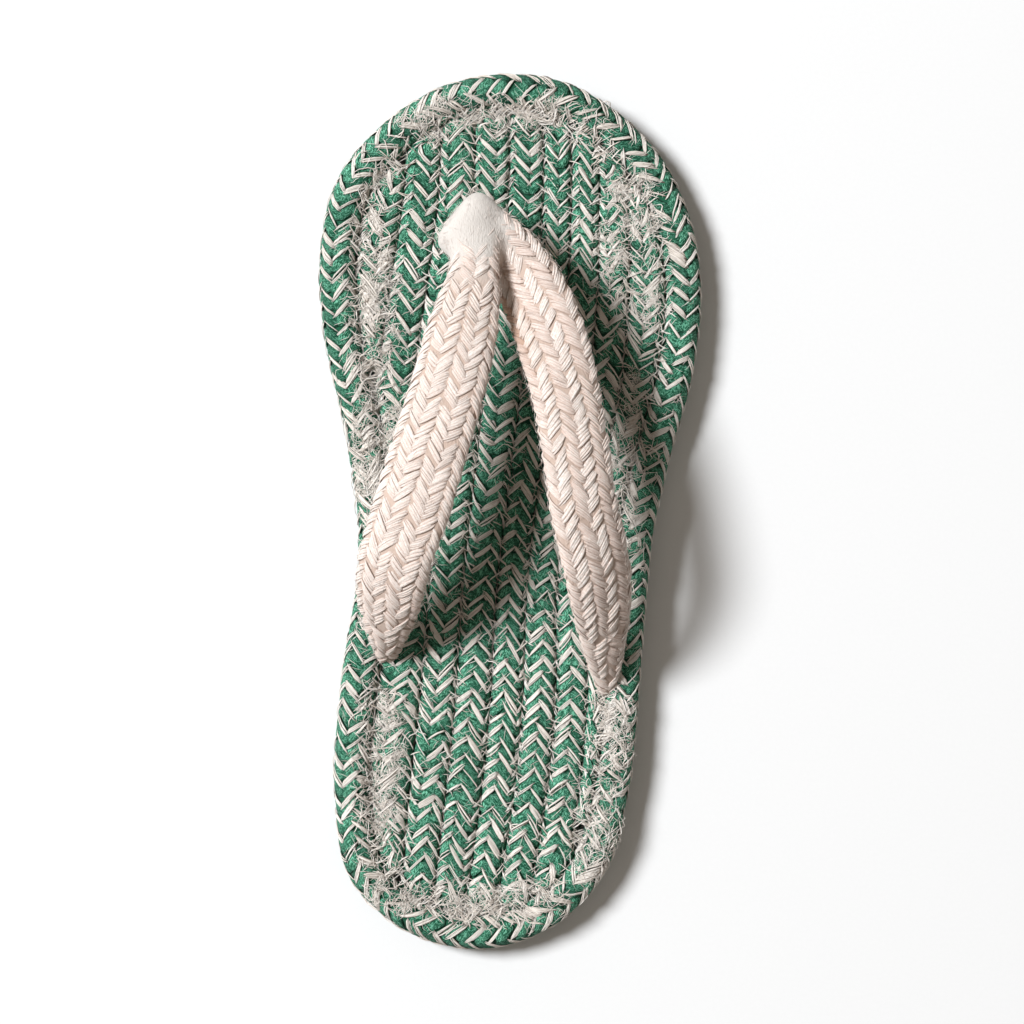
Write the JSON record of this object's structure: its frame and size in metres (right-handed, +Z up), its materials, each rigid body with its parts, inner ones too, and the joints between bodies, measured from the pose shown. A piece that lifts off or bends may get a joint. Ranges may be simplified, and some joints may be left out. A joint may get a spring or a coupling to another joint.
{
  "type": "slipper",
  "caption": "Braided thong slipper for a right foot: a flat sole of braided cords with a braided rim, and two padded braided straps that meet at a toe post.",
  "frame": {"origin": "centre of the bounding box seen from above, on the floor under the sole", "axes": "+Y along the foot to the toe, +X to the outer side of a right foot, +Z up"},
  "size_m": [0.1051, 0.2398, 0.0468],
  "materials": {
    "mat_cord": "matte braided cotton, green with cream",
    "rim_cord": "matte braided cotton, green with cream",
    "strap": "soft matte cotton"
  },
  "bodies": {
    "root": {"mat_cord_inner_short": "mat_cord", "mat_cord_inner_half": "mat_cord", "mat_cord_inner_side": "mat_cord", "mat_cord_inner_mid": "mat_cord", "mat_cord_inner_keel": "mat_cord", "mat_cord_outer_keel": "mat_cord", "mat_cord_outer_mid": "mat_cord", "mat_cord_outer_side": "mat_cord", "mat_cord_outer_edge": "mat_cord", "rim_cord": "rim_cord", "upper": "strap"}
  },
  "joints": []
}
